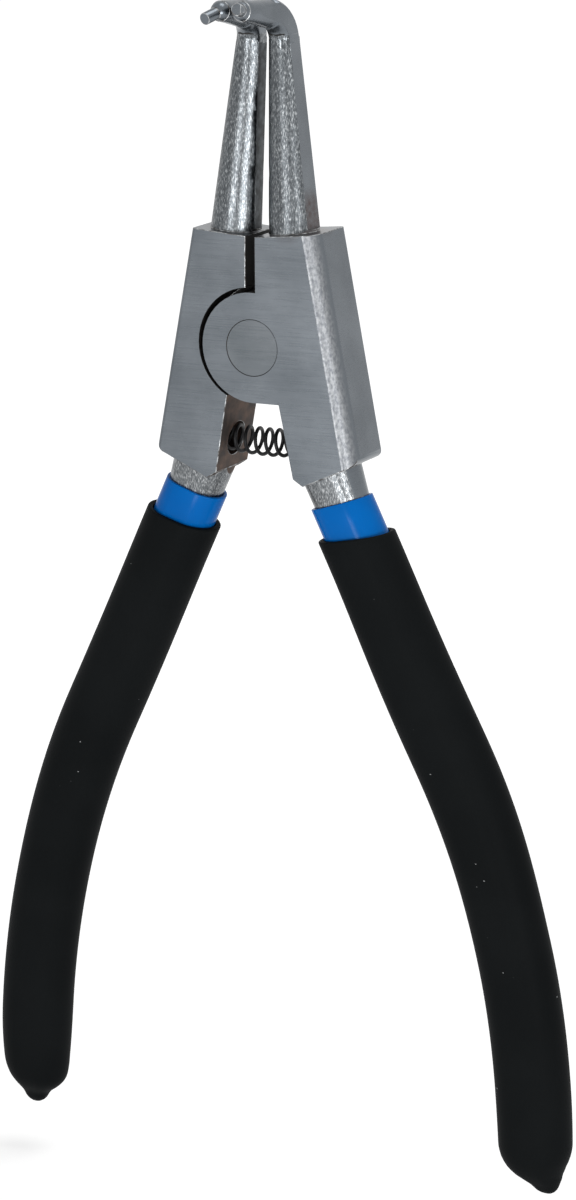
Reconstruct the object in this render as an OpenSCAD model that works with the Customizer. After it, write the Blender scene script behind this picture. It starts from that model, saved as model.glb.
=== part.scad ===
// Circlip pliers for outside rings, with both tips bent forward at a right angle.
// Millimetres. +Z runs along the tool toward the tips and the tips point to -Y.
// The origin is on the pivot axis, at the back face of the head.
// Shown at rest: the spring holds the handles apart and the tips together.

/* [Head] */
// thickness of the head, front face to back face
head_t = 10; // [9.5:0.1:12]
// diameter of the round boss that each lever laps over the other
boss_d = 16.6; // [15:0.2:17.4]
// radial gap between a boss and the recess it turns in
boss_gap = 0.5; // [0.3:0.05:0.8]
// gap between the two lap faces
lap_gap = 0.1; // [0.06:0.02:0.2]
// width of the slot between the two halves above the pivot
slot_w = 1.5; // [1:0.1:2]
// height of a shoulder at its outer corner
shoulder_z = 17.4; // [15:0.2:20]
// fall of a shoulder toward the slot, in degrees
shoulder_fall = 4.5; // [0:0.5:8]
// half width of the right half at its shoulder
right_top_half = 10.7; // [10:0.1:12]
// half width of the left half at its shoulder
left_top_half = 9.8; // [9.4:0.1:12]
// half width of the head at its lower corners
low_half = 16.5; // [15.5:0.1:18]
// height of the lower corners
low_z = -15.6; // [-17:0.1:-15]
// rounding of the lower corners
corner_r = 1.6; // [0.8:0.1:2.2]
// how far the rounded outer edge runs in on the face with the boss
edge_boss = 2.1; // [1:0.1:3]
// angle of the crease where that rounding meets the face, in degrees
edge_crease = 15; // [0:1:25]
// rounding along the outer edge on the face with the recess
edge_recess = 0.7; // [0.3:0.1:1.2]

/* [Crotch and spring] */
// half width of the gap between the halves just below the boss
crotch_half = 4.25; // [3.6:0.05:4.8]
// lean of each inner face away from the middle, in degrees
crotch_lean = 10.5; // [8:0.5:12]
// lowest point of the head, at its inner corner
toe_z = -20.4; // [-22:0.1:-20]
// height of the spring pockets on the inner faces
pocket_z = -15; // [-16:0.1:-13.5]
// diameter of a spring pocket
pocket_d = 5.2; // [5:0.1:6]
// depth of a spring pocket
pocket_depth = 4; // [3:0.1:5]
// outside diameter of the spring
spring_d = 4.4; // [3.6:0.1:4.6]
// diameter of the spring wire
wire_d = 0.75; // [0.5:0.05:0.9]
// turns of the spring
spring_turns = 11; // [8:1:13]

/* [Rivet] */
// diameter of the rivet shank
rivet_d = 7; // [6:0.1:7.4]
// diameter of the rivet heads, flush with the faces
rivet_head_d = 8.4; // [7.9:0.1:9]
// depth of the countersinks under the rivet heads
rivet_sink = 0.8; // [0.5:0.1:1.5]
// radial gap round the rivet heads
rivet_seam = 0.12; // [0.06:0.02:0.2]
// radial running gap of the rivet shank
rivet_run = 0.05; // [0.02:0.01:0.1]

/* [Arms and tips] */
// distance of an arm axis from the middle at the shoulder
arm_x = 4.85; // [4.6:0.05:5.4]
// lean of each arm toward the other, in degrees
arm_lean = 4.4; // [4:0.1:4.5]
// how far both arms stand over to the right, in degrees
arm_skew = 2; // [0:0.1:2.2]
// radius of an arm at the shoulder
arm_r = 3.8; // [3.3:0.1:4]
// height where the bend starts
bend_z = 44.8; // [40:0.2:46]
// radius of the ground bend
bend_wire_r = 2.2; // [2:0.05:2.25]
// how far the forged arm stands proud of the ground bend
bend_step = 0.1; // [0.06:0.02:0.14]
// how far the forged arm runs up over the start of the bend
bend_lap = 0.7; // [0.4:0.1:0.9]
// radius of the bend along its middle line
bend_r = 4.6; // [3.6:0.1:6]
// angle of the bend, in degrees
bend_deg = 82; // [78:1:90]
// inward turn of the part past the bend, in degrees
toe_in = 2.8; // [1.6:0.2:3]
// length of the tapered part past the bend
nose_len = 7.6; // [6:0.2:8.4]
// radius of the tapered part at the shoulder of the tip
nose_r = 1.5; // [1.3:0.05:1.55]
// diameter of the tip that enters the ring
tip_d = 1.8; // [1.2:0.1:2.2]
// length of the tip, from the rounded end of the nose
tip_len = 2.4; // [2:0.1:4]
// outward splay of the right tip, in degrees
right_tip_splay = 18; // [10:1:20]
// dip of the right tip toward the handles, in degrees
right_tip_dip = -10; // [-12:1:10]
// outward splay of the left tip, in degrees
left_tip_splay = 12; // [10:1:20]
// dip of the left tip toward the handles, in degrees
left_tip_dip = 15; // [-5:1:16]
// how far the flat on the inside of an arm cuts into it at the shoulder
flat_root = 0.12; // [0.1:0.02:0.3]
// how far the flat on the inside of an arm cuts into it at the bend
flat_bend = 0.4; // [0.3:0.02:0.44]
// how far the flat on the outside of an arm cuts into it
side_flat = 0.55; // [0.3:0.05:0.7]

/* [Handles] */
// distance from the middle where a handle axis leaves the head
root_x = 10.1; // [9.8:0.1:10.6]
// height where a handle axis leaves the head
root_z = -18.4; // [-19:0.1:-18]
// lean of the straight part of a handle, in degrees
handle_lean = 25.5; // [22:0.5:27]
// length of the straight part, from the head
straight_len = 46; // [36:1:60]
// how far both handles stand over to the left
handle_shift = 0.3; // [0:0.05:0.4]
// radius of the bowed part along its middle line
bow_r = 147; // [120:1:200]
// angle the bowed part turns through, in degrees
bow_deg = 24.2; // [18:0.2:25.4]
// width of the steel tang
tang_w = 8.5; // [7.8:0.1:8.8]
// thickness of the steel tang
tang_t = 6; // [5.4:0.1:6.4]
// thickness of the neck where it leaves the head
neck_t = 8.2; // [7:0.1:9]
// how far the neck widens to the outside where it leaves the head
neck_flare = 1.8; // [0.4:0.2:2.4]
// length of bare neck above the inner sleeve
neck_len = 4.9; // [4.4:0.1:7]
// fit between tang and sleeve, and between sleeve and grip
dip_fit = 0.08; // [0.05:0.01:0.1]

/* [Sleeves and grips] */
// wall of the inner sleeve
sleeve_wall = 0.55; // [0.4:0.05:0.8]
// length of inner sleeve left bare above the grip
collar_len = 5.4; // [4:0.2:9]
// how much lower the right sleeve and grip start
right_drop = 0.5; // [0:0.1:1]
// tilt of the upper rim of the right inner sleeve, in degrees
right_sleeve_tilt = -2; // [-6:1:10]
// tilt of the upper rim of the left inner sleeve, in degrees
left_sleeve_tilt = 6; // [-6:1:10]
// tilt of the upper rim of the right grip, in degrees
right_grip_tilt = 14; // [0:1:16]
// tilt of the upper rim of the left grip, in degrees
left_grip_tilt = 8; // [0:1:16]
// wall of the outer grip
grip_wall = 0.9; // [0.7:0.05:1.2]
// radius of the rounded end of a grip
dome_r = 6.4; // [6:0.1:8]
// radius of the drip at the end of a grip
drip_r = 1.7; // [1.2:0.05:1.8]
// how far the drip stands below the rounded end
drip_h = 2; // [1.8:0.1:2.6]

/* [Hidden] */
$fn = 96;

steel = [0.46, 0.48, 0.5];
blue = [0.04, 0.38, 0.7];
black = [0.09, 0.09, 0.1];

half_t = head_t / 2;

// the nose ends in a ball, and the tip leaves it square to its own axis
end_r = nose_r - 0.06;
tip_root = sqrt(end_r * end_r - tip_d * tip_d / 4);
arm_top_r = bend_wire_r + bend_step;

boss_r = boss_d / 2;
recess_r = boss_r + boss_gap;
strip_r = edge_boss / (1 - sin(edge_crease));
right_edge_lean = atan((low_half - right_top_half) / (shoulder_z - low_z));
left_edge_lean = atan((low_half - left_top_half) / (shoulder_z - low_z));
toe_x = crotch_half + (-boss_r - toe_z) * tan(crotch_lean);
pocket_x = crotch_half + (-boss_r - pocket_z) * tan(crotch_lean);

// where two lengths of a handle or a nose meet, one is let into the other, a hair smaller
let_in = 0.6;
nose_let_in = 0.3;
seam = 0.02;

// the tang stops short of the end of the bow, the sleeve a little less so
tang_deg = bow_deg - 2;
sleeve_deg = bow_deg - 1;
fit_deg = dip_fit / bow_r * 180 / PI;
sleeve_grow = dip_fit + sleeve_wall;
grip_grow = sleeve_grow + dip_fit + grip_wall;
end_lean = handle_lean - bow_deg;

bow_start = [root_x + straight_len * sin(handle_lean),
             root_z - straight_len * cos(handle_lean)];
bow_mid = bow_start - bow_r * [cos(handle_lean), sin(handle_lean)];
bow_end = bow_mid + bow_r * [cos(end_lean), sin(end_lean)];

// the spring lies on an arc that runs square into both pockets
seat_x = pocket_x + pocket_depth * cos(crotch_lean);
seat_z = pocket_z + pocket_depth * sin(crotch_lean);
spring_bow_r = seat_x / sin(crotch_lean);
spring_mid_z = seat_z + spring_bow_r * cos(crotch_lean);
spring_end_deg = crotch_lean - (0.3 + wire_d / 2) / spring_bow_r * 180 / PI;

// points of an arc in a plane
function arc(c, r, a0, a1, n = 12) =
    [for (i = [0 : n]) c + r * [cos(a0 + (a1 - a0) * i / n), sin(a0 + (a1 - a0) * i / n)]];

// Head

// outline of one half of the head, right of the middle
module half_outline(top, lean) {
    drop = (top - slot_w / 2) * tan(shoulder_fall);
    polygon(concat(
        [[slot_w / 2, 0],
         [slot_w / 2, shoulder_z - drop],
         [top, shoulder_z]],
        arc([low_half - corner_r, low_z], corner_r, lean, -60),
        [[toe_x + 1.6, toe_z],
         [toe_x, toe_z + 1],
         [crotch_half - boss_r * tan(crotch_lean), 0]]));
}

// the layer that carries the boss
module boss_layer(top, lean) {
    half_outline(top, lean);
    circle(boss_r);
    translate([0, -boss_r])
        square([crotch_half, boss_r]);
}

// the layer that makes room for the other lever's boss
module recess_layer(top, lean) {
    difference() {
        half_outline(top, lean);
        circle(recess_r);
    }
}

// cross-section of the head square to its outer edge, rounded front and back;
// the larger rounding starts from the face with a crease
module edge_section() {
    polygon(concat(
        [[-60, half_t], [-60, -half_t]],
        arc([-strip_r, strip_r * cos(edge_crease) - half_t], strip_r, edge_crease - 90, 0),
        arc([-edge_recess, half_t - edge_recess], edge_recess, 0, 90, 6)));
}

module upright(y0, y1) {
    translate([0, y1, 0])
        rotate([90, 0, 0])
            linear_extrude(y1 - y0)
                children();
}

module head(top, lean) {
    intersection() {
        union() {
            upright(-half_t, -lap_gap / 2)
                boss_layer(top, lean);
            upright(-lap_gap / 2, half_t)
                recess_layer(top, lean);
        }
        translate([low_half, 0, low_z])
            rotate([0, -lean, 0])
                translate([0, 0, -20])
                    linear_extrude(80)
                        edge_section();
    }
}

// Handle

// flat-sided oval section of tang, sleeve and grip
module oval(w, t, n = 16) {
    mid = [(w - t) / 2, 0];
    polygon(concat(arc(mid, t / 2, -90, 90, n), arc(-mid, t / 2, 90, 270, n)));
}

// places a thing at a distance along the straight part, looking down the handle
module along(s) {
    translate([root_x + s * sin(handle_lean), 0, root_z - s * cos(handle_lean)])
        rotate([0, 180 - handle_lean, 0])
            children();
}

// the handle from a distance along its straight part to an angle of its bow
module sweep(grow, start, deg) {
    along(start)
        linear_extrude(straight_len - start + let_in)
            oval(tang_w + 2 * (grow - seam), tang_t + 2 * (grow - seam));
    translate([bow_mid[0], 0, bow_mid[1]])
        rotate([90, 0, 0])
            rotate([0, 0, handle_lean - deg])
                rotate_extrude(angle = deg, $fn = 360)
                    translate([bow_r, 0])
                        oval(tang_w + 2 * grow, tang_t + 2 * grow);
}

// neck that thins from the head to the tang
module neck() {
    hull() {
        along(-2)
            translate([-neck_flare / 2, 0, 0])
                linear_extrude(0.4)
                    oval(tang_w + neck_flare, neck_t, 12);
        along(neck_len - 0.6)
            linear_extrude(0.2)
                oval(tang_w, tang_t, 12);
    }
}

// room inside the crotch, a hair behind the inner face of the head
module crotch() {
    low = toe_z - 2.4;
    run = tan(crotch_lean) * toe_z / (toe_z + 1);
    face = crotch_half - boss_r * tan(crotch_lean) + 0.05;
    upright(-half_t - 1, half_t + 1)
        polygon([[-10, 0], [face, 0], [face - run * low, low], [-10, low]]);
}

// neck and tang; shift moves them away from the middle
module stem(shift) {
    difference() {
        translate([shift, 0, 0]) {
            neck();
            sweep(0, -2, tang_deg);
        }
        crotch();
    }
}

module spring_pocket() {
    translate([pocket_x, 0, pocket_z])
        rotate([0, 90 - crotch_lean, 0])
            translate([0, 0, -2])
                cylinder(h = pocket_depth + 2, d = pocket_d);
}

// bore and countersink of one lever, seen from the face at -Y
module rivet_bore() {
    rotate([90, 0, 0]) {
        translate([0, 0, -half_t - 1])
            cylinder(h = head_t + 2, d = rivet_d + 2 * rivet_run);
        translate([0, 0, half_t - rivet_sink])
            cylinder(h = rivet_sink, d1 = rivet_d + 2 * rivet_run,
                     d2 = rivet_head_d + 2 * rivet_seam);
    }
}

// Arm and tip

// side is 1 for the right arm and -1 for the left
module arm_frame(lean, side = 1) {
    translate([side * (arm_x - (bend_z - shoulder_z) * tan(lean)), 0, bend_z])
        rotate([0, -side * lean, 0])
            children();
}

// tapered arm from inside the head up over the start of the bend
module arm(lean) {
    reach = (bend_z - shoulder_z) / cos(lean);
    slope = (arm_r - arm_top_r) / reach;
    sunk = 5;
    arm_frame(lean)
        translate([0, 0, -reach - sunk])
            cylinder(h = reach + sunk + bend_lap, r1 = arm_r + sunk * slope,
                     r2 = arm_top_r - bend_lap * slope);
}

// tapered nose, along Z from the end of the bend
module nose() {
    rotate_extrude()
        polygon([[0, -nose_let_in],
                 [bend_wire_r - seam, -nose_let_in],
                 [bend_wire_r - seam, 0],
                 [nose_r, nose_len],
                 [0, nose_len]]);
}

// bend, tapered nose and tip
module prong(lean, side, splay, dip) {
    arm_frame(lean, side)
        rotate([0, 0, -side * toe_in]) {
            translate([0, -bend_r, 0])
                rotate([90, 0, 90])
                    rotate_extrude(angle = bend_deg)
                        translate([bend_r, 0])
                            circle(bend_wire_r);
            translate([0, bend_r * (cos(bend_deg) - 1), bend_r * sin(bend_deg)])
                rotate([bend_deg, 0, 0]) {
                    nose();
                    translate([0, 0, nose_len])
                        rotate([dip + 90 - bend_deg, side * (splay + toe_in), 0]) {
                            sphere(end_r);
                            cylinder(h = tip_root + tip_len, d = tip_d);
                        }
                }
        }
}

// everything past a plane square to X, between two heights
module past(side, from, low, high) {
    translate([side * (from + 10) - 10, -20, low])
        cube([20, 40, high - low]);
}

// flats on the inside and on the outside of the arm, run on round the bend
module flats(lean, side) {
    reach = (bend_z - shoulder_z) / cos(lean);
    inside = arm_top_r - flat_bend;
    outside = arm_top_r - side_flat;
    inside_taper = atan((arm_r - flat_root - inside) / reach);
    outside_taper = atan((arm_r - arm_top_r) / reach);
    arm_frame(lean, side) {
        rotate([0, side * inside_taper, 0])
            past(-side, inside, -reach - 0.1, 0);
        rotate([0, -side * outside_taper, 0])
            past(side, outside, -reach - 0.1, 0);
        rotate([0, 0, -side * toe_in]) {
            past(-side, inside, -0.1, 20);
            past(side, outside, -0.1, 20);
        }
    }
}

// Levers

// head, neck, tang and arm; the same forging serves both sides
module lever_blank(top, edge_lean, lean, shift) {
    difference() {
        union() {
            head(top, edge_lean);
            stem(shift);
            arm(lean);
        }
        spring_pocket();
        rivet_bore();
    }
}

module right_half() {
    lean = arm_lean - arm_skew;
    difference() {
        union() {
            lever_blank(right_top_half, right_edge_lean, lean, -handle_shift);
            prong(lean, 1, right_tip_splay, right_tip_dip);
        }
        flats(lean, 1);
    }
}

module left_half() {
    lean = arm_lean + arm_skew;
    difference() {
        union() {
            rotate([0, 0, 180])
                lever_blank(left_top_half, left_edge_lean, lean, handle_shift);
            prong(lean, -1, left_tip_splay, left_tip_dip);
        }
        flats(lean, -1);
    }
}

module seat() {
    translate([0, -half_t, 0])
        children();
}

module right_lever() {
    color(steel)
        seat()
            right_half();
}

module left_lever() {
    color(steel)
        seat()
            left_half();
}

// rivet with two flush heads
module pivot_rivet() {
    low = 0.06;
    color(steel)
        seat()
            rotate([90, 0, 0]) {
                cylinder(h = head_t - 2 * low, d = rivet_d, center = true);
                for (side = [0, 1])
                    mirror([0, 0, side])
                        translate([0, 0, half_t - low - rivet_sink])
                            cylinder(h = rivet_sink, d1 = rivet_d, d2 = rivet_head_d);
            }
}

// Spring

wire_sides = 8;
turn_steps = 16;
spring_steps = spring_turns * turn_steps;

// point on the spring's middle line, and its directions along and across
function spring_deg(t) = spring_end_deg * (2 * t - 1);
function spring_axis(t) = [spring_bow_r * sin(spring_deg(t)), 0,
                           spring_mid_z - spring_bow_r * cos(spring_deg(t))];
function spring_along(t) = [cos(spring_deg(t)), 0, sin(spring_deg(t))];
function spring_out(t) = [sin(spring_deg(t)), 0, -cos(spring_deg(t))];

// the coil closes up over the first and the last turn
function closing(t) = let (e = 0.75 / spring_turns, k = 0.45)
    (t < e ? k * t : t > 1 - e ? 1 - k * (1 - t)
           : k * e + (t - e) * (1 - 2 * k * e) / (1 - 2 * e));

// one ring of wire points
function coil_ring(i) =
    let (t = i / spring_steps,
         u = closing(t),
         a = 360 * spring_turns * t,
         r = (spring_d - wire_d) / 2,
         radial = cos(a) * spring_out(u) + sin(a) * [0, 1, 0],
         c = spring_axis(u) + r * radial)
    [for (k = [0 : wire_sides - 1])
        let (b = 360 * k / wire_sides)
        c + wire_d / 2 * (cos(b) * radial + sin(b) * spring_along(u))];

module return_spring() {
    rings = [for (i = [0 : spring_steps]) each coil_ring(i)];
    last = spring_steps * wire_sides;
    sides = [for (i = [0 : spring_steps - 1])
                for (k = [0 : wire_sides - 1])
                    let (a = i * wire_sides + k,
                         b = i * wire_sides + (k + 1) % wire_sides)
                    each [[a, a + wire_sides, b], [b, a + wire_sides, b + wire_sides]]];
    head_end = [for (k = [0 : wire_sides - 1]) k];
    tail_end = [for (k = [wire_sides - 1 : -1 : 0]) last + k];
    color(black)
        seat()
            polyhedron(rings, concat(sides, [head_end, tail_end]));
}

// Sleeves and grips

// everything above a tilted rim
module above_rim(s, tilt) {
    along(s)
        rotate([0, tilt, 0])
            translate([-20, -20, -20])
                cube([40, 40, 20]);
}

module sleeve(start, tilt) {
    difference() {
        sweep(sleeve_grow, start - 1.5, sleeve_deg);
        sweep(dip_fit, start - 2.5, tang_deg + fit_deg);
        above_rim(start, tilt);
    }
}

// rounded end of a grip with its drip, let a little way into the bow
module grip_end() {
    w = tang_w + 2 * (grip_grow - seam);
    t = tang_t + 2 * (grip_grow - seam);
    reach = w / 2 + 0.2;
    turn = acos((drip_r - reach + dome_r) / dome_r);
    drip_z = dome_r * sin(turn) + drip_h;
    translate([bow_end[0], 0, bow_end[1]])
        rotate([0, 180 - end_lean, 0])
            intersection() {
                translate([0, 0, -let_in])
                    linear_extrude(drip_z + 2)
                        oval(w, t);
                rotate_extrude()
                    polygon(concat(
                        [[0, -1], [reach, -1]],
                        arc([reach - dome_r, 0], dome_r, 0, turn, 14),
                        arc([0, drip_z - drip_r], drip_r, 0, 90, 8)));
            }
}

module grip(start, tilt) {
    difference() {
        union() {
            sweep(grip_grow, start - 2.5, bow_deg);
            grip_end();
        }
        sweep(sleeve_grow + dip_fit, start - 3.5, sleeve_deg + fit_deg);
        above_rim(start, tilt);
    }
}

// each side carries its handle over to the left
module right_handle() {
    seat()
        translate([-handle_shift, 0, 0])
            children();
}

module left_handle() {
    seat()
        rotate([0, 0, 180])
            translate([handle_shift, 0, 0])
                children();
}

module right_sleeve() {
    color(blue)
        right_handle()
            sleeve(neck_len + right_drop, right_sleeve_tilt);
}

module left_sleeve() {
    color(blue)
        left_handle()
            sleeve(neck_len, left_sleeve_tilt);
}

module right_grip() {
    color(black)
        right_handle()
            grip(neck_len + right_drop + collar_len, right_grip_tilt);
}

module left_grip() {
    color(black)
        left_handle()
            grip(neck_len + collar_len, left_grip_tilt);
}

right_lever();
left_lever();
pivot_rivet();
return_spring();
right_sleeve();
left_sleeve();
right_grip();
left_grip();
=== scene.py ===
# %% [markdown]
# # Circlip pliers with bent tips
# These pliers open outside retaining rings. Squeezing the handles spreads two bent tips, and
# a small spring between the halves of the head closes them again. The solids of the tool come
# from its CAD model, in metres, and this lesson gives them their edges, coatings and finishes.
# The loader brings every solid in at its place, so nothing has to be fitted by eye.

# %% Load the frame
import math

import bpy
from mathutils import Matrix, Vector


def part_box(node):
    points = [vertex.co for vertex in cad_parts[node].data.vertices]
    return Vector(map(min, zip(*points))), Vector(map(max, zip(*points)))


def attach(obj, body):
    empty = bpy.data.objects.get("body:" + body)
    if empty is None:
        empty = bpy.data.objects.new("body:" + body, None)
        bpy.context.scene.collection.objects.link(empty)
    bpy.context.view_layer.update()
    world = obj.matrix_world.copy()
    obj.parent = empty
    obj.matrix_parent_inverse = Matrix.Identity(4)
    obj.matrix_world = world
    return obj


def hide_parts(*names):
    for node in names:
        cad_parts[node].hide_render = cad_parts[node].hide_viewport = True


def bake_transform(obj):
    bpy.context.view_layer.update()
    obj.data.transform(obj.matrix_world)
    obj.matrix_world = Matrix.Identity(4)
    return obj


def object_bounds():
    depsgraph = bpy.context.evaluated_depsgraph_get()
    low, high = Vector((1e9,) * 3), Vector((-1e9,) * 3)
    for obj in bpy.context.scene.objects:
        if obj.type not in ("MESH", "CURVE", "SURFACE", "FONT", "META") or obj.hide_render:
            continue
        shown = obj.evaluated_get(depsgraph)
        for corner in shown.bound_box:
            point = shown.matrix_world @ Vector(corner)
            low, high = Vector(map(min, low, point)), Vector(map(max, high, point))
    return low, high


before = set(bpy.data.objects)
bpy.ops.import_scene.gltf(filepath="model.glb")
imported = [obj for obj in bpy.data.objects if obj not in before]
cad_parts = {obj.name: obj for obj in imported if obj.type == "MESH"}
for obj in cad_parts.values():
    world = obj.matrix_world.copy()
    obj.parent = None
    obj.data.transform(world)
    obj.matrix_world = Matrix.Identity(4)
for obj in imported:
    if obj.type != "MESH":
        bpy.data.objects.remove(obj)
cad_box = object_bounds()
MM = 0.001
print("CAD box in mm:", [[round(v / MM, 1) for v in corner] for corner in cad_box])

# %% [markdown]
# ## Camera
# The photograph looks down a little on the front of the tool, from its right. A long lens
# keeps the perspective flat, as on a product table. The camera's axes are worked out from an
# azimuth, an elevation and a small roll, because those are the numbers that a photographer
# would read off the tripod.

# %% Set up the camera
AZIMUTH = math.radians(27.99)
ELEVATION = math.radians(14.17)
ROLL = math.radians(-0.97)
EYE = Vector((282.6, -531.6, 111.2)) * MM

back = Vector((math.sin(AZIMUTH) * math.cos(ELEVATION),
               -math.cos(AZIMUTH) * math.cos(ELEVATION),
               math.sin(ELEVATION)))
level = Vector((math.cos(AZIMUTH), math.sin(AZIMUTH), 0.0))
above = back.cross(level)
right = level * math.cos(ROLL) + above * math.sin(ROLL)
up = above * math.cos(ROLL) - level * math.sin(ROLL)

bpy.ops.object.select_all(action="DESELECT")
bpy.ops.object.camera_add(location=EYE)
camera = bpy.context.object
camera.name = "photo_camera"
camera.matrix_world = Matrix.Translation(EYE) @ Matrix((right, up, back)).transposed().to_4x4()
camera.data.lens = 122.0
camera.data.clip_end = 20.0
bpy.context.scene.camera = camera
print("camera at", [round(v, 3) for v in camera.location], "lens", camera.data.lens)

# %% [markdown]
# ## Small tools for working by hand in code
# Modelling by hand is a chain of picking and acting. Here the picking is done by a test on a
# point's place or a face's normal, and the acting by Blender's own operators. An operator
# acts on all that is selected, so each step starts with nothing selected.

# %% Picking helpers
def clear_selection():
    """Leaves edit mode and deselects every object."""
    if bpy.context.object and bpy.context.object.mode != "OBJECT":
        bpy.ops.object.mode_set(mode="OBJECT")
    bpy.ops.object.select_all(action="DESELECT")


def work_on(piece):
    """Makes one piece the only selected and active object."""
    clear_selection()
    piece.select_set(True)
    bpy.context.view_layer.objects.active = piece


def pick(piece, kind, test):
    """Selects the points, edges or faces of a piece that pass a test, and enters edit mode."""
    work_on(piece)
    bpy.context.tool_settings.mesh_select_mode = [kind == k for k in ("VERT", "EDGE", "FACE")]
    mesh = piece.data
    for group in (mesh.vertices, mesh.edges, mesh.polygons):
        group.foreach_set("select", [False] * len(group))
    count = 0
    if kind == "VERT":
        for point in mesh.vertices:
            point.select = test(point.co)
            count += point.select
    if kind == "EDGE":
        for edge in mesh.edges:
            a, b = (mesh.vertices[i].co for i in edge.vertices)
            edge.select = test((a + b) / 2, b - a)
            count += edge.select
    if kind == "FACE":
        for face in mesh.polygons:
            face.select = test(face.center, face.normal)
            count += face.select
    bpy.ops.object.mode_set(mode="EDIT")
    return count


def finish_with(piece, kind, **settings):
    """Adds one modifier with its settings and applies it."""
    work_on(piece)
    modifier = piece.modifiers.new(kind.lower(), kind)
    for name, value in settings.items():
        setattr(modifier, name, value)
    bpy.ops.object.modifier_apply(modifier=modifier.name)


print("helpers: clear_selection, work_on, pick, finish_with")

# %% [markdown]
# ## The two levers
# Each lever is one drop forging: half of the lapped head, the arm with its bent tip, and the
# tang inside the handle. The CAD solid has the right shape but razor edges, and its mesh is
# loose triangles. A copy of it is welded, and its flat triangles are dissolved into whole
# faces, so that the later steps meet clean edges.

# %% Weld the levers
def forging(node, name):
    """A welded copy of a CAD solid, with its flat triangles joined."""
    clear_selection()
    piece = bpy.data.objects.new(name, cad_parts[node].data.copy())
    bpy.context.collection.objects.link(piece)
    piece.data.materials.clear()
    work_on(piece)
    bpy.ops.object.mode_set(mode="EDIT")
    bpy.ops.mesh.select_all(action="SELECT")
    bpy.ops.mesh.remove_doubles(threshold=0.002 * MM)
    bpy.ops.mesh.customdata_custom_splitnormals_clear()
    bpy.ops.mesh.dissolve_limited(angle_limit=math.radians(0.3))
    bpy.ops.object.mode_set(mode="OBJECT")
    return piece


right_forging = forging("right_lever", "right_forging")
left_forging = forging("left_lever", "left_forging")
for lever in (right_forging, left_forging):
    print(lever.name, len(lever.data.vertices), "points", len(lever.data.polygons), "faces")

# %% [markdown]
# The forged front of each arm ends in a small crease under the bend, where the grinding of the
# bend began. Three level cuts give a band of two rows of faces there. The middle row of points
# on the front is then pushed in, which leaves a groove that fades out to both sides.

# %% Press the creases under the bends
MID_Y = -5.0 * MM
SHOULDER_Z = 17.4 * MM
BEND_Z = 44.8 * MM
CREASE_Z = 46.0 * MM
CREASE_H = 0.13 * MM
CREASE_DEPTH = 0.14 * MM
ARM_X = 4.85 * MM
ARM_R = 3.8 * MM
ARM_TOP_R = 2.3 * MM
RIGHT_LEAN = math.radians(2.4)
LEFT_LEAN = math.radians(6.4)


def arm_axis(side, lean, z):
    """Where the middle of an arm is at a height."""
    return side * (ARM_X - (z - SHOULDER_Z) * math.tan(lean))


def press_crease(piece, side, lean, half):
    """Cuts a band across the start of a bend and pushes the middle of it in."""
    for row in range(3):
        pick(piece, "FACE", lambda place, normal: place.z > BEND_Z - 1.0 * MM)
        bpy.ops.mesh.bisect(plane_co=(0.0, 0.0, CREASE_Z + row * CREASE_H),
                            plane_no=(0.0, 0.0, 1.0))
        bpy.ops.object.mode_set(mode="OBJECT")
    middle = arm_axis(side, lean, CREASE_Z)
    moved = pick(piece, "VERT", lambda co: abs(co.z - CREASE_Z - CREASE_H) < 0.02 * MM
                 and co.y < MID_Y - 1.6 * MM and abs(co.x - middle) < half)
    bpy.ops.transform.translate(value=(0.0, CREASE_DEPTH, 0.0))
    bpy.ops.object.mode_set(mode="OBJECT")
    return moved


print("crease points, right:", press_crease(right_forging, 1, RIGHT_LEAN, 1.2 * MM))
print("crease points, left:", press_crease(left_forging, -1, LEFT_LEAN, 0.9 * MM))

# %% [markdown]
# The recess that the front boss turns in is a little large above, so the gap between them is
# wide near the slot and closes to a hair line below. Both rings of points of the recess are
# picked by their radius and slid up and outward together.

# %% Open the gap above the boss
RECESS_R = 8.8 * MM
RECESS_SHIFT = Vector((-0.16, 0.0, 0.24)) * MM
picked = pick(left_forging, "VERT", lambda co: abs(math.hypot(co.x, co.z) - RECESS_R) < 0.06 * MM
              and co.y < MID_Y + 0.5 * MM and co.x < 0.3 * MM)
bpy.ops.transform.translate(value=RECESS_SHIFT)
bpy.ops.object.mode_set(mode="OBJECT")
print("points of the recess:", picked)

# %% [markdown]
# Each neck runs into its tang with a smooth taper, and the CAD solid has a small step there.
# The upper ring of the tang is picked by how far down the handle it lies, and slid further
# down under the sleeve. The step is drawn out into the taper.

# %% Taper the necks
HANDLE_LEAN = math.radians(25.5)
ROOT_Z = -18.4 * MM
ROOT_X = {1: 9.8 * MM, -1: 10.4 * MM}
TANG_HALF_W = 4.25 * MM
TANG_HALF_T = 3.0 * MM
TANG_TOP = 4.5 * MM
TANG_SLIDE = 2.2 * MM


def handle_root(side):
    """Where the straight part of a handle starts."""
    return Vector((side * ROOT_X[side], MID_Y, ROOT_Z))


def down_way(side):
    """The direction of the straight part of a handle."""
    return Vector((side * math.sin(HANDLE_LEAN), 0.0, -math.cos(HANDLE_LEAN)))


def out_way(side):
    """The direction across the straight part of a handle, to the outside."""
    return Vector((side * math.cos(HANDLE_LEAN), 0.0, math.sin(HANDLE_LEAN)))


def down_handle(place, side):
    """How far down the straight part of a handle a point is."""
    return (place - handle_root(side)).dot(down_way(side))


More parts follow.
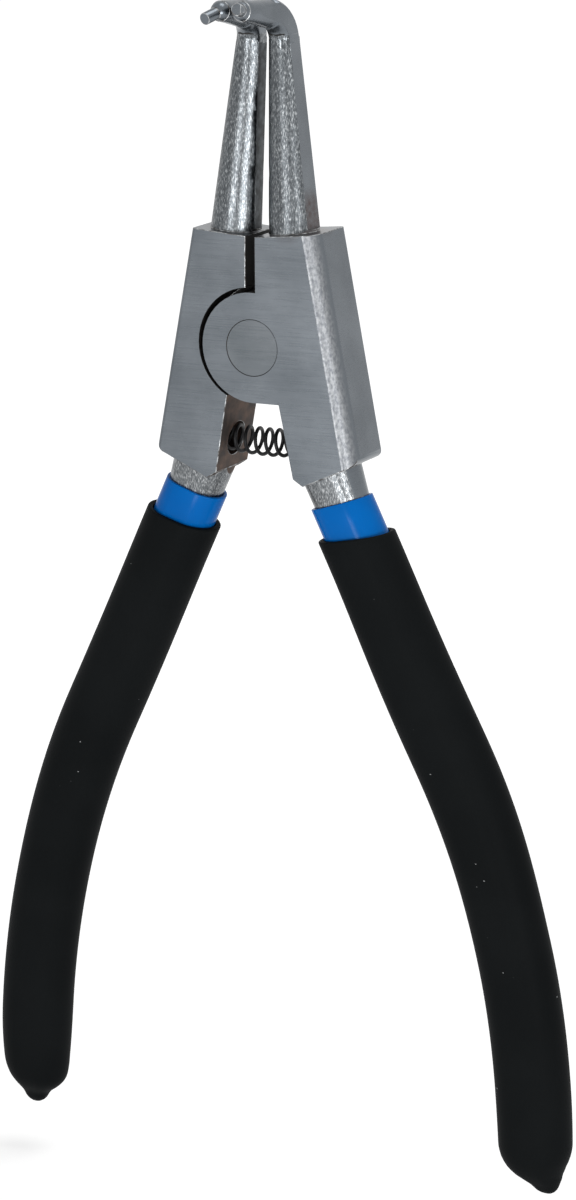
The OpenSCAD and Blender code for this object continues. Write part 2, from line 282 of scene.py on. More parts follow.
def taper_neck(piece, side):
    """Slides the upper ring of the tang down, and counts its points."""
    def on_ring(co):
        across = (co - handle_root(side)).dot(out_way(side)) / TANG_HALF_W
        through = (co.y - MID_Y) / TANG_HALF_T
        at_top = abs(down_handle(co, side) - TANG_TOP) < 0.03 * MM
        return at_top and math.hypot(across, through) > 0.97

    count = pick(piece, "VERT", on_ring)
    bpy.ops.transform.translate(value=down_way(side) * TANG_SLIDE)
    bpy.ops.object.mode_set(mode="OBJECT")
    return count


print("points slid, right:", taper_neck(right_forging, 1))
print("points slid, left:", taper_neck(left_forging, -1))

# %% [markdown]
# The faces of a forging are finished in different ways. The flat faces of the head, the flats
# on the arms, the bends and the tips are ground. The round fronts of the arms and the necks
# keep the forged skin under its plating. The rounded strip along the head's edge was only
# skimmed. The faces that look at each other below the pivot keep brown scale. The walls of the
# slot and the gap, and the crease under each bend, are painted near black as painted shade, and
# the same black marks the lapped joints. The flats between the arms are painted dark, as a
# painted reflection of the shaded gap. Each finish gets its own material, which is filled later.

# %% List the finishes of the levers
GROUND, FORGED, STRIP, SCALE, WORN, BLACK_JOINTS_AND_SHADE, FLAT_PAINTED_REFLECTION, NECK = range(8)
FINISHES = [bpy.data.materials.new(name) for name in
            ("steel_ground_satin", "steel_forged_plated", "steel_edge_skimmed",
             "steel_brown_scale", "steel_worn_bright", "steel_black_joints_painted_shade", "steel_flat_painted_reflection",
             "steel_neck_plated")]
print("finishes:", [finish.name for finish in FINISHES])

# %% [markdown]
# The faces could be painted by hand, one by one. A test on the place and the normal of a face
# finds the same ones again after each change of the shape. The round of an arm is known by its
# distance from the arm's axis, a flat by the way it faces, and the neck by how far down the
# handle it lies.

# %% Tests for the arms and necks
NECK_TOP_Z = -16.0 * MM


def is_flat(normal):
    """True for the level facing of the ground flats on the sides of an arm."""
    return abs(normal.x) > 0.9 and abs(normal.y) < 0.02


def on_arm(place, normal, side, lean):
    """True on the forged round of an arm, up to the crease, but not on its flats."""
    if not SHOULDER_Z + 0.1 * MM < place.z < CREASE_Z or is_flat(normal):
        return False
    share = (place.z - SHOULDER_Z) / (BEND_Z - SHOULDER_Z)
    radius = ARM_R + (ARM_TOP_R - ARM_R) * share
    off = math.hypot(place.x - arm_axis(side, lean, place.z), place.y - MID_Y)
    on_front = place.z < BEND_Z + 0.7 * MM or normal.y < -0.2
    return off > radius * 0.8 and on_front and normal.z < 0.8


def on_inner_flat(place, normal, side):
    """True on the flat of an arm that looks at the other arm."""
    return is_flat(normal) and side * normal.x < 0.0 and place.z > SHOULDER_Z


def in_crease(place, side, lean):
    """True on the front of the narrow band under a bend."""
    level = CREASE_Z - 0.01 * MM < place.z < CREASE_Z + 2 * CREASE_H + 0.01 * MM
    return (level and place.y < MID_Y - 1.7 * MM
            and abs(place.x - arm_axis(side, lean, CREASE_Z)) < 1.3 * MM)


def on_neck(place, normal, side):
    """True on the bare neck between the head and the sleeve."""
    down = down_way(side)
    outer = normal.dot(down.cross(Vector((0.0, side, 0.0)))) > 0.75
    return (down_handle(place, side) > -1.2 * MM and abs(normal.dot(down)) < 0.62
            and place.z < NECK_TOP_Z and not outer)


print("tests: is_flat, on_arm, on_inner_flat, in_crease, on_neck")

# %% [markdown]
# The front of one half of the head is the back of the other, because the two forgings are
# alike and one is turned round. So the tests for the head measure from its middle plane, and
# the side of the lever, 1 or -1, turns them round too.

# %% Tests for the head
STRIP_DEPTH = 2.1 * MM
STRIP_X = 8.0 * MM
STRIP_Z = (-16.5 * MM, 17.6 * MM)
INNER_X = 11.0 * MM
INNER_TOP_Z = -7.4 * MM
POCKET_X = 10.2 * MM
POCKET_R = 2.7 * MM
POCKET_Z = -15.0 * MM
POCKET_REACH = 3.0 * MM
SLOT_X = 3.0 * MM
SLOT_Z = (5.0 * MM, 17.2 * MM)
BOSS_GAP_R = (7.9 * MM, 9.4 * MM)
RIVET_SEAT_R = 4.5 * MM


def on_strip(place, normal, side):
    """True on the rounded edge of the head, on the face that carries the boss."""
    front = -side * (place.y - MID_Y)
    return (front > STRIP_DEPTH and side * normal.x > 0.2 and -side * normal.y > 0.06
            and side * place.x > STRIP_X and STRIP_Z[0] < place.z < STRIP_Z[1])


def on_inner_face(place, normal, side):
    """True on the face toward the spring, and inside its pocket."""
    inward = (side * place.x < INNER_X and place.z < INNER_TOP_Z
              and down_handle(place, side) < 0.6 * MM)
    in_pocket = (side * place.x < POCKET_X and abs(place.z - POCKET_Z) < POCKET_REACH
                 and abs(place.y - MID_Y) < POCKET_R)
    return inward and (side * normal.x < -0.5 or in_pocket)


def in_gap(place, normal, side):
    """True on the walls of the slot and of the gaps at the pivot, and between the laps."""
    out = math.hypot(place.x, place.z)
    in_slot = (side * normal.x < -0.9 and SLOT_Z[0] < place.z < SLOT_Z[1]
               and abs(place.x) < SLOT_X)
    at_boss = (BOSS_GAP_R[0] < out < BOSS_GAP_R[1] and abs(normal.y) < 0.3
               and place.z > -8.0 * MM)
    at_rivet = out < RIVET_SEAT_R and abs(normal.y) < 0.95
    lapped = abs(place.y - MID_Y) < 0.4 * MM and abs(normal.y) > 0.9
    return in_slot or at_boss or at_rivet or lapped


print("tests: on_strip, on_inner_face, in_gap")

# %% [markdown]
# Each test now picks its faces, and the slot of their finish is assigned to them, as with the
# Assign button. A face that passes two tests keeps the later finish, and the rest stay ground.

# %% Sort the faces of the levers by finish
def sort_faces(piece, side, lean):
    """Gives each face of a lever the slot of its finish, and counts them."""
    piece.data.materials.clear()
    for finish in FINISHES:
        piece.data.materials.append(finish)
    groups = (
        (FORGED, lambda place, normal: on_arm(place, normal, side, lean)),
        (NECK, lambda place, normal: on_neck(place, normal, side)),
        (STRIP, lambda place, normal: on_strip(place, normal, side)),
        (SCALE, lambda place, normal: on_inner_face(place, normal, side)),
        # painted shade: the slot, the gaps at the pivot and the crease under each bend are painted
        # near black; the laps and the rivet's seats are dark joints
        (BLACK_JOINTS_AND_SHADE, lambda place, normal: in_gap(place, normal, side)
            or in_crease(place, side, lean)),
        # painted reflection: the flats between the arms are painted dark, as if they mirrored the
        # shaded gap
        (FLAT_PAINTED_REFLECTION, lambda place, normal: on_inner_flat(place, normal, side)))
    counts = []
    for finish, test in groups:
        counts.append(pick(piece, "FACE", test))
        piece.active_material_index = finish
        bpy.ops.object.material_slot_assign()
        bpy.ops.object.mode_set(mode="OBJECT")
    return counts


print("faces by finish, right:", sort_faces(right_forging, 1, RIGHT_LEAN))
print("faces by finish, left:", sort_faces(left_forging, -1, LEFT_LEAN))

# %% [markdown]
# Grinding and wear leave a fine bright break on the edges. The sharp edges are found by the
# angle between their faces. Those that are closed up against something else stay sharp: the
# rims round the boss and the rivet, and all that the sleeves cover. Arms and bends were
# polished over, so nothing is broken there, and the joints of arm, bend and nose are shaded
# smooth. The rest get a bevel weight, and the bevel gives its new faces the worn finish. A
# point that the bevel lifts over the top of the CAD box is laid level with it.

# %% Break the sharp edges
EDGE_BREAK = 0.1 * MM
SHARP_FROM = math.radians(32)
SMOOTH_UP_TO = math.radians(28)
TOP_CLEAR = 0.005 * MM
NOSE_END_Y = -15.4 * MM


def stays_sharp(place, side):
    """True where an edge is hidden, or too close to the next one for a bevel."""
    at_pivot = math.hypot(place.x, place.z) < 9.6 * MM and place.y < MID_Y
    on_arm_side = place.z > SHOULDER_Z + 0.5 * MM and place.y > NOSE_END_Y
    return at_pivot or on_arm_side or down_handle(place, side) > 3.8 * MM


def on_bend(place):
    """True on the bend and on the nose, but not on the nose's front end and its pin."""
    return place.z > BEND_Z - 0.4 * MM and place.y > NOSE_END_Y


def break_edges(piece, side):
    """Weighs the open sharp edges of a lever, bevels them and smooths the shading."""
    work_on(piece)
    bpy.ops.object.mode_set(mode="EDIT")
    bpy.ops.mesh.select_mode(type="EDGE")
    bpy.ops.mesh.select_all(action="DESELECT")
    bpy.ops.mesh.edges_select_sharp(sharpness=SHARP_FROM)
    bpy.ops.object.mode_set(mode="OBJECT")
    mesh = piece.data
    ends = [[mesh.vertices[i].co for i in edge.vertices] for edge in mesh.edges]
    wanted = [edge.select and not stays_sharp((a + b) / 2, side)
              for edge, (a, b) in zip(mesh.edges, ends)]
    for group in (mesh.vertices, mesh.polygons):
        group.foreach_set("select", [False] * len(group))
    mesh.edges.foreach_set("select", wanted)
    bpy.ops.object.mode_set(mode="EDIT")
    bpy.ops.transform.edge_bevelweight(value=1.0)
    finish_with(piece, "BEVEL", width=EDGE_BREAK, segments=2, limit_method="WEIGHT",
                use_clamp_overlap=False, material=WORN)
    top = cad_box[1].z - TOP_CLEAR
    pick(piece, "VERT", lambda co: co.z > top)
    bpy.ops.transform.resize(value=(1.0, 1.0, 0.0), center_override=(0.0, 0.0, top))
    work_on(piece)
    bpy.ops.object.shade_smooth_by_angle(angle=SMOOTH_UP_TO)
    pick(piece, "EDGE", lambda middle, along: on_bend(middle) and abs(along.z) < 0.8 * MM
         and math.hypot(along.x, along.y) < 1.2 * MM)
    bpy.ops.mesh.mark_sharp(clear=True)
    finish_with(piece, "WEIGHTED_NORMAL", keep_sharp=True, weight=80)
    print(piece.name, "bevelled:", len(piece.data.polygons), "faces")


break_edges(right_forging, 1)
break_edges(left_forging, -1)
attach(right_forging, "right_half")
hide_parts("right_lever")
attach(left_forging, "left_half")
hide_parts("left_lever")

# %% [markdown]
# ## The rivet
# The pivot is a rivet whose two heads are pressed into countersinks and ground flush with the
# head, so that only a hair line round each shows. The CAD solid already has that form, so a
# welded copy is enough, and the slanted sides of its heads are as black as their seats.

# %% Finish the rivet
rivet = forging("pivot_rivet", "flush_rivet")
rivet.data.materials.append(bpy.data.materials.new("steel_rivet_ground"))
rivet.data.materials.append(FINISHES[BLACK_JOINTS_AND_SHADE])
sides = pick(rivet, "FACE", lambda place, normal: abs(normal.y) < 0.95)
rivet.active_material_index = 1
bpy.ops.object.material_slot_assign()
work_on(rivet)
bpy.ops.object.shade_smooth_by_angle(angle=math.radians(20))
finish_with(rivet, "WEIGHTED_NORMAL", keep_sharp=True, weight=80)
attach(rivet, "right_half")
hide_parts("pivot_rivet")
print("rivet:", len(rivet.data.polygons), "faces,", sides, "of them black")

# %% [markdown]
# ## The return spring
# The spring is a short coil of black wire that sits in a pocket on each side. The CAD solid
# has the coil's path with an eight-sided wire. Its triangles are joined into quads, and one
# level of subdivision turns the wire round. The wire is then drawn thinner and the coil a
# little wider, as the real one looks.

# %% Round the spring's wire
WIRE_THINNER = 0.06 * MM
COIL_WIDER = 1.09

spring = forging("return_spring", "coil_spring")
work_on(spring)
bpy.ops.object.mode_set(mode="EDIT")
bpy.ops.mesh.select_all(action="SELECT")
bpy.ops.mesh.tris_convert_to_quads(face_threshold=math.radians(60),
                                   shape_threshold=math.radians(80))
bpy.ops.object.mode_set(mode="OBJECT")
finish_with(spring, "SUBSURF", levels=1, render_levels=1)
spring_low, spring_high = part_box("return_spring")
spring_middle = (spring_low + spring_high) / 2
pick(spring, "VERT", lambda co: True)
bpy.ops.transform.shrink_fatten(value=-WIRE_THINNER)
bpy.ops.transform.resize(value=(1.0, COIL_WIDER, COIL_WIDER), center_override=spring_middle)
bpy.ops.object.mode_set(mode="OBJECT")
work_on(spring)
bpy.ops.object.shade_smooth_by_angle(angle=math.radians(60))
spring.data.materials.append(bpy.data.materials.new("wire_black_oxide"))
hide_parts("return_spring")
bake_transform(spring)
print("spring:", len(spring.data.polygons), "faces")

# %% [markdown]
# ## Sleeves and grips
# Each steel tang is dipped twice: first in blue vinyl, of which a collar stays in sight, and
# then in black. A handle runs straight out of the head and then bends inward in a bow. Both
# coats follow that line, so it is worked out once.

# %% The path of a handle
STRAIGHT = 46.0 * MM
BOW_R = 147.0 * MM
BOW_TURN = math.radians(24.2)
END_LEAN = HANDLE_LEAN - BOW_TURN
HANDS = ((1, "right"), (-1, "left"))


def handle_line(side):
    """Root, its ways down and out, middle of the bow, and the end with its ways down and out."""
    root, down, out = handle_root(side), down_way(side), out_way(side)
    middle = root + down * STRAIGHT - out * BOW_R
    end_out = Vector((side * math.cos(END_LEAN), 0.0, math.sin(END_LEAN)))
    end_down = Vector((side * math.sin(END_LEAN), 0.0, -math.cos(END_LEAN)))
    return root, down, out, middle, middle + end_out * BOW_R, end_down, end_out


for side, hand in HANDS:
    print(hand, "handle ends at", [round(v / MM, 1) for v in handle_line(side)[4]])

# %% [markdown]
# A dipped coat is made as a tang is drawn. A circle is stretched to the oval of the tang by
# sliding its outer half out and its inner half in. It is extruded along the straight part and
# spun round the bow. The points of the first loop are then slid along the handle, each by how
# far out it lies, which tilts the rim as the surface of the bath did.

# %% Draw one coat along a handle
LOOP_POINTS = 64
STRAIGHT_STEPS = 12
BOW_STEPS = 40


def coat(name, side, half_w, half_t, rim_at, turn):
    """An open oval tube along a handle, left in edit mode with its last loop selected."""
    root, down, out, middle = handle_line(side)[:4]
    start = root + down * rim_at
    clear_selection()
    bpy.ops.mesh.primitive_circle_add(
        vertices=LOOP_POINTS, radius=half_t, location=start,
        rotation=(0.0, math.pi - side * HANDLE_LEAN, 0.0))
    piece = bpy.context.object
    piece.name = name
    bpy.ops.object.transform_apply(location=True, rotation=True, scale=True)
    for way in (1, -1):
        pick(piece, "VERT", lambda co: way * (co - start).dot(out) > 0.01 * MM)
        bpy.ops.transform.translate(value=out * way * (half_w - half_t))
    bpy.ops.mesh.select_all(action="SELECT")
    for step in range(STRAIGHT_STEPS):
        bpy.ops.mesh.extrude_region_move(
            TRANSFORM_OT_translate={"value": down * (STRAIGHT - rim_at) / STRAIGHT_STEPS})
    bpy.ops.mesh.spin(steps=BOW_STEPS, angle=-side * turn, center=middle, axis=(0.0, 1.0, 0.0))
    return piece


def tilt_rim(piece, side, rim_at, tilt):
    """Slides the points of the first loop down the handle, the outer ones further."""
    root, down, out = handle_line(side)[:3]
    bpy.ops.object.mode_set(mode="OBJECT")
    slid = 0
    for point in piece.data.vertices:
        off = point.co - root - down * rim_at
        if abs(off.dot(down)) < 0.01 * MM and off.length < 10.0 * MM:
            point.co += down * off.dot(out) * math.tan(tilt)
            slid += 1
    return slid


print("coat and tilt_rim are ready")

# %% [markdown]
# ### Blue sleeves
# The first dip is thin and glossy, and only a collar of it shows between the neck and the
# grip. The tube needs a real wall there, because its rim is seen from above, so it is given
# one by Solidify, and a small bevel makes the rim soft. Its far end lies unseen inside the
# grip, where one plain face closes it.

# %% Blue sleeves
FIT = 0.08 * MM
SLEEVE_WALL = 0.55 * MM
SLEEVE_GROW = FIT + SLEEVE_WALL
SLEEVE_RIM_ROUND = 0.16 * MM
SLEEVE_END_TURN = BOW_TURN - math.radians(1.0)
# start of the sleeve below the head, and tilt of its rim in degrees
SLEEVE_RIMS = {1: (5.3 * MM, 8.0), -1: (4.9 * MM, 6.0)}


def give_wall(piece, wall, rim_round):
    """Turns an open skin into a coat with a wall and a soft rim."""
    work_on(piece)
    bpy.ops.object.mode_set(mode="EDIT")
    bpy.ops.mesh.select_all(action="SELECT")
    bpy.ops.mesh.remove_doubles(threshold=0.002 * MM)
    bpy.ops.mesh.normals_make_consistent(inside=False)
    bpy.ops.object.mode_set(mode="OBJECT")
    finish_with(piece, "SOLIDIFY", thickness=wall, offset=-1.0, use_even_offset=True)
    finish_with(piece, "BEVEL", width=rim_round, segments=3, limit_method="ANGLE",
                angle_limit=math.radians(50), use_clamp_overlap=False)
    work_on(piece)
    bpy.ops.object.shade_smooth_by_angle(angle=math.radians(40))


def dress(piece, side, body_node):
    """Ties a coat to its half of the tool and hides the solid that it stands for."""
    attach(piece, "right_half" if side > 0 else "left_half")
    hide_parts(body_node)


vinyl_blue = bpy.data.materials.new("vinyl_blue_dipped")
for side, hand in HANDS:
    rim_at, tilt = SLEEVE_RIMS[side]
    sleeve = coat(hand + "_blue_coat", side, TANG_HALF_W + SLEEVE_GROW,
                  TANG_HALF_T + SLEEVE_GROW, rim_at, SLEEVE_END_TURN)
    bpy.ops.mesh.edge_face_add()
    slid = tilt_rim(sleeve, side, rim_at, math.radians(tilt))
    give_wall(sleeve, SLEEVE_WALL, SLEEVE_RIM_ROUND)
    sleeve.data.materials.append(vinyl_blue)
    dress(sleeve, side, hand + "_sleeve")
    print(sleeve.name, len(sleeve.data.polygons), "faces, rim of", slid, "points")

# %% [markdown]
# ### Black grips
# A grip swells a little in the palm of the hand, which one loop with proportional editing
# gives. Its end is drawn in a little in the same way, and then closes in a rounded cap with a
# drop at its lowest point, where the last of the dip ran together. The cap is drawn loop by
# loop: each extrusion moves a little further down, and the new loop is scaled about its own
# middle. The drop hangs toward the outside on the right handle and nearly in the middle on
# the left.

# %% Shape of the grips
GRIP_WALL = 0.9 * MM
GRIP_GROW = SLEEVE_GROW + FIT + GRIP_WALL
GRIP_RIM_ROUND = 0.28 * MM
# start of the grip below the head, and tilt of its rim in degrees
GRIP_RIMS = {1: (10.8 * MM, 14.0), -1: (10.3 * MM, 8.0)}
# growth of the width at the start of the bow, and how far along the grip it fades out
SWELL = {1: 1.07, -1: 1.03}
SWELL_REACH = 32.0 * MM
# size of the last loop of the bow, and how far it bends toward the middle of the tool
END_SHARE = {1: 0.985, -1: 0.93}
END_INWARD = {1: 0.3 * MM, -1: 0.0}
END_SHARE_REACH = 9.0 * MM
END_INWARD_REACH = 30.0 * MM
# distance below the bow in mm, share of the full section, shift to the outside in mm
CAPS = {1: ((0.5, 0.98, 0.0), (1.2, 0.96, 0.0), (2.0, 0.925, 0.0), (2.8, 0.87, 0.03),
            (3.55, 0.80, 0.08), (4.2, 0.73, 0.25), (4.8, 0.65, 0.45), (5.25, 0.58, 0.75),
            (5.65, 0.52, 1.03), (6.05, 0.45, 1.28), (6.45, 0.39, 1.49), (6.85, 0.34, 1.62),
            (7.25, 0.285, 1.72), (7.6, 0.205, 1.85), (7.82, 0.12, 1.95), (7.92, 0.05, 1.97)),
        -1: ((0.65, 0.918, -0.02), (1.3, 0.9, -0.06), (2.0, 0.873, -0.13), (2.75, 0.835, -0.22),
             (3.35, 0.79, -0.3), (3.95, 0.725, -0.36), (4.55, 0.64, -0.33), (5.1, 0.545, -0.25),
             (5.5, 0.47, -0.12), (5.9, 0.405, 0.0), (6.3, 0.36, 0.05), (6.7, 0.325, 0.08),
             (7.1, 0.28, 0.06), (7.45, 0.22, 0.05), (7.75, 0.14, 0.08), (7.92, 0.06, 0.1))}
SOFT = {"use_proportional_edit": True, "proportional_edit_falloff": "SMOOTH"}


def draw_cap(side):
    """Draws in the selected end loop of a grip and closes it with a rounded cap and a drop."""
    end, end_down, end_out = handle_line(side)[4:]
    share = END_SHARE[side]
    bpy.ops.transform.resize(value=(share, share, share), center_override=end,
                             use_proportional_edit=True, proportional_edit_falloff="SHARP",
                             proportional_size=END_SHARE_REACH)
    inward = Vector((-side * END_INWARD[side], 0.0, 0.0))
    bpy.ops.transform.translate(value=inward, proportional_size=END_INWARD_REACH, **SOFT)
    depth, shift = 0.0, 0.0
    for new_depth, new_share, new_shift in CAPS[side]:
        step = end_down * (new_depth - depth) + end_out * (new_shift - shift)
        bpy.ops.mesh.extrude_region_move(TRANSFORM_OT_translate={"value": step * MM})
        factor = new_share / share
        middle = end + inward + (end_down * new_depth + end_out * new_shift) * MM
        bpy.ops.transform.resize(value=(factor, factor, factor), center_override=middle)
        depth, share, shift = new_depth, new_share, new_shift
    bpy.ops.mesh.merge(type="CENTER")


def swell(piece, side):
    """Widens a grip round the start of its bow, with a smooth falloff."""
    root, down = handle_line(side)[:2]
    middle = root + down * STRAIGHT
    count = pick(piece, "VERT", lambda co: abs((co - middle).dot(down)) < 0.02 * MM
                 and (co - middle).length < 10.0 * MM)
    bpy.ops.transform.resize(value=(SWELL[side], 1.0, 1.0), center_override=middle,
                             proportional_size=SWELL_REACH, **SOFT)
    bpy.ops.object.mode_set(mode="OBJECT")
    return count


print("loops of the caps, right and left:", len(CAPS[1]), len(CAPS[-1]))

# %% [markdown]
# The grips are coats like the sleeves, only thicker and longer. The cap has to be drawn while
# the last loop is still selected, so it comes before the rim is tilted and the palm swells.

# %% Black grips
vinyl_black = bpy.data.materials.new("vinyl_black_dipped")
for side, hand in HANDS:
    rim_at, tilt = GRIP_RIMS[side]
    grip = coat(hand + "_black_coat", side, TANG_HALF_W + GRIP_GROW,
                TANG_HALF_T + GRIP_GROW, rim_at, BOW_TURN)
    draw_cap(side)
    tilt_rim(grip, side, rim_at, math.radians(tilt))
    loop = swell(grip, side)
    give_wall(grip, GRIP_WALL, GRIP_RIM_ROUND)
    grip.data.materials.append(vinyl_black)
    dress(grip, side, hand + "_grip")
    print(grip.name, len(grip.data.polygons), "faces, swollen round", loop, "points")

# %% [markdown]
# ## Finishes
# Every finish starts from what the surface is and how it was made. Colours are written as
# sRGB hex values, as read from a colour chart, and one function turns them to the linear
# values that the shader needs. One more function adds a node with its settings and links.
# Patterns read Object coordinates, which are metres here, so a pattern with a grain of so
# many millimetres gets a scale of 1000 divided by that number.

# %% Finish helpers
def linear(code):
    """An sRGB hex value as linear colour."""
    parts = [int(code[i:i + 2], 16) / 255 for i in (1, 3, 5)]
    return [p / 12.92 if p <= 0.04045 else ((p + 0.055) / 1.055) ** 2.4 for p in parts] + [1.0]


def per_mm(size):
    """Scale of a pattern whose grain is so many millimetres."""
    return 1.0 / (size * MM)


def add(material, kind, settings=None, **inputs):
    """Adds a node, sets it up, and fills or links its inputs by name or number."""
    tree = material.node_tree
    made = tree.nodes.new(kind)
    for name, value in (settings or {}).items():
        if name == "stops":
            while len(made.color_ramp.elements) < len(value):
                made.color_ramp.elements.new(1.0)
            for stop, (position, code) in zip(made.color_ramp.elements, value):
                stop.position = position
                stop.color = linear(code)
        else:
            setattr(made, name, value)
    for name, value in inputs.items():
        key = int(name[1:]) if name[0] == "_" else name.replace("_", " ")
        if isinstance(value, bpy.types.NodeSocket):
            tree.links.new(value, made.inputs[key])
        else:
            made.inputs[key].default_value = value
    return made


def start(material):
    """Clears a material and returns its object coordinates and its output."""
    material.use_nodes = True
    material.node_tree.nodes.clear()
    place = add(material, "ShaderNodeTexCoord").outputs["Object"]
    return place, add(material, "ShaderNodeOutputMaterial")


def surface(material, output, **inputs):
    """Ends a material in one Principled shader."""
    shader = add(material, "ShaderNodeBsdfPrincipled", **inputs)
    material.node_tree.links.new(shader.outputs[0], output.inputs[0])


print("finish helpers: linear, per_mm, add, start, surface")

# %% [markdown]
# ### Ground steel
# The head's faces, the flats and the bends are ground on a belt to a satin grey. The belt
# leaves hair lines across the tool that scatter the light. The real ones are finer than a
# pixel, so they are drawn as coarse as they need to show. Handling leaves faint cloudy patches.
# Oil and grime turn brown where the arms stand on the shoulders, and that corner is also
# darkened there as painted shade, so a spot of brown fades out round each arm's foot.

# %% Ground steel
DIRT_AND_SHADE = "#3a2219"
DIRT_AND_SHADE_FROM, DIRT_AND_SHADE_TO = 3.4 * MM, 5.4 * MM


def ground_steel(material, dark, light, dirty_shaded_feet=()):
    """Satin steel with hair lines across the tool, and a dirty brown spot with painted shade round
    the given points.
    """
    place, output = start(material)
    lines = add(material, "ShaderNodeMapping", Vector=place, Scale=(0.04, 0.3, 1.0))
    hair = add(material, "ShaderNodeTexNoise", Vector=lines.outputs[0],
               Scale=per_mm(0.22), Detail=3.0)
    cloud = add(material, "ShaderNodeTexNoise", Vector=place, Scale=per_mm(8.0), Detail=4.0)
    tone = add(material, "ShaderNodeMath", {"operation": "MULTIPLY_ADD"},
               _0=hair.outputs[0], _1=0.3, _2=cloud.outputs[0])
    colour = add(material, "ShaderNodeValToRGB", {"stops": ((0.45, dark), (0.9, light))},
                 Fac=tone.outputs[0]).outputs[0]
    spots = add(material, "ShaderNodeTexNoise", Vector=place, Scale=per_mm(0.9), Detail=4.0)
    for foot, strength in dirty_shaded_feet:
        away = add(material, "ShaderNodeVectorMath", {"operation": "DISTANCE"},
                   _0=place, _1=foot)
        near = add(material, "ShaderNodeMapRange", Value=away.outputs[1], From_Min=DIRT_AND_SHADE_FROM,
                   From_Max=DIRT_AND_SHADE_TO, To_Min=strength, To_Max=0.0)
        dirt_and_shade = add(material, "ShaderNodeMath", {"operation": "MULTIPLY"},
                   _0=near.outputs[0], _1=spots.outputs[0])
        colour = add(material, "ShaderNodeMix", {"data_type": "RGBA"}, _0=dirt_and_shade.outputs[0],
                     _6=colour, _7=linear(DIRT_AND_SHADE)).outputs[2]
    rough = add(material, "ShaderNodeMapRange", Value=hair.outputs[0], To_Min=0.24, To_Max=0.32)
    bump = add(material, "ShaderNodeBump", Height=hair.outputs[0], Strength=0.1,
               Distance=0.02 * MM)
    surface(material, output, Metallic=1.0, Base_Color=colour, Roughness=rough.outputs[0],
            Normal=bump.outputs[0])


# foot of each arm, and how strong its brown grime and painted shade are
FEET = (((6.0 * MM, -5.6 * MM, 18.6 * MM), 1.1), ((-5.0 * MM, -4.6 * MM, 18.4 * MM), 0.6))
ground_steel(FINISHES[GROUND], "#60656a", "#71767b", FEET)
ground_steel(rivet.data.materials[0], "#606569", "#707478")
print("ground steel on the head, flats, bends and rivet")

# %% [markdown]
# ### Forged skin under plating
# Where nothing was ground, the plating lies over the rough skin of the forging. It is grainy:
# small dents catch the light as sparkles, with dull dark grey between. The grain is drawn out
# along the arms, because the steel flowed that way in the die.

# %% Forged steel
def forged_steel(material, dark, middle, light):
    """Plated steel with the sparkling grain of a forged skin."""
    place, output = start(material)
    drawn = add(material, "ShaderNodeMapping", Vector=place, Scale=(1.0, 1.0, 0.32))
    grain = add(material, "ShaderNodeTexNoise", Vector=drawn.outputs[0], Scale=per_mm(0.17),
                Detail=3.0, Roughness=0.55)
    lumps = add(material, "ShaderNodeTexNoise", Vector=drawn.outputs[0], Scale=per_mm(1.6),
                Detail=2.0)
    stops = ((0.34, dark), (0.54, middle), (0.7, light))
    colour = add(material, "ShaderNodeValToRGB", {"stops": stops}, Fac=grain.outputs[0])
    rough = add(material, "ShaderNodeMapRange", Value=lumps.outputs[0], To_Min=0.24, To_Max=0.36)
    height = add(material, "ShaderNodeMath", {"operation": "MULTIPLY_ADD"},
                 _0=lumps.outputs[0], _1=2.0, _2=grain.outputs[0])
    bump = add(material, "ShaderNodeBump", Height=height.outputs[0], Strength=0.42,
               Distance=0.04 * MM)
    surface(material, output, Metallic=1.0, Base_Color=colour.outputs[0],
            Roughness=rough.outputs[0], Normal=bump.outputs[0])


forged_steel(FINISHES[FORGED], "#44474a", "#65696c", "#a2a5a7")
forged_steel(FINISHES[NECK], "#4d5053", "#737678", "#aeb0b2")
print("forged steel on the arms and necks")

# %% [markdown]
# ### The skimmed edge
# The rounded edge of the head starts bright and speckled at the crease and turns into the
# ground side face without a border. How far a point lies from the middle of the head's
# thickness tells where on the rounding it is, so that distance mixes the two looks.

# %% Skimmed edge
SKIN_FROM, SKIN_TO = 2.6 * MM, 4.5 * MM


def skimmed_steel(material, ground, dark, light):
    """Ground steel near the middle of the thickness, and speckled skin toward the face."""
    place, output = start(material)
    depth = add(material, "ShaderNodeSeparateXYZ", Vector=place)
    off = add(material, "ShaderNodeMath", {"operation": "SUBTRACT"}, _0=depth.outputs[1],
              _1=MID_Y)
    out = add(material, "ShaderNodeMath", {"operation": "ABSOLUTE"}, _0=off.outputs[0])
    skin = add(material, "ShaderNodeMapRange", {"interpolation_type": "SMOOTHSTEP"},
               Value=out.outputs[0], From_Min=SKIN_FROM, From_Max=SKIN_TO)
    drawn = add(material, "ShaderNodeMapping", Vector=place, Scale=(1.0, 1.0, 0.6))
    grain = add(material, "ShaderNodeTexNoise", Vector=drawn.outputs[0], Scale=per_mm(0.35),
                Detail=3.0, Roughness=0.55)
    bright = add(material, "ShaderNodeValToRGB", {"stops": ((0.34, dark), (0.66, light))},
                 Fac=grain.outputs[0])
    colour = add(material, "ShaderNodeMix", {"data_type": "RGBA"}, _0=skin.outputs[0],
                 _6=linear(ground), _7=bright.outputs[0])
    rough = add(material, "ShaderNodeMapRange", Value=skin.outputs[0], To_Min=0.5, To_Max=0.46)
    lift = add(material, "ShaderNodeMath", {"operation": "MULTIPLY"}, _0=grain.outputs[0],
               _1=skin.outputs[0])
    bump = add(material, "ShaderNodeBump", Height=lift.outputs[0], Strength=0.35,
               Distance=0.05 * MM)
    surface(material, output, Metallic=1.0, Base_Color=colour.outputs[2],
            Roughness=rough.outputs[0], Normal=bump.outputs[0])


skimmed_steel(FINISHES[STRIP], "#686d72", "#686b70", "#929496")
print("skimmed steel on the edges of the head")
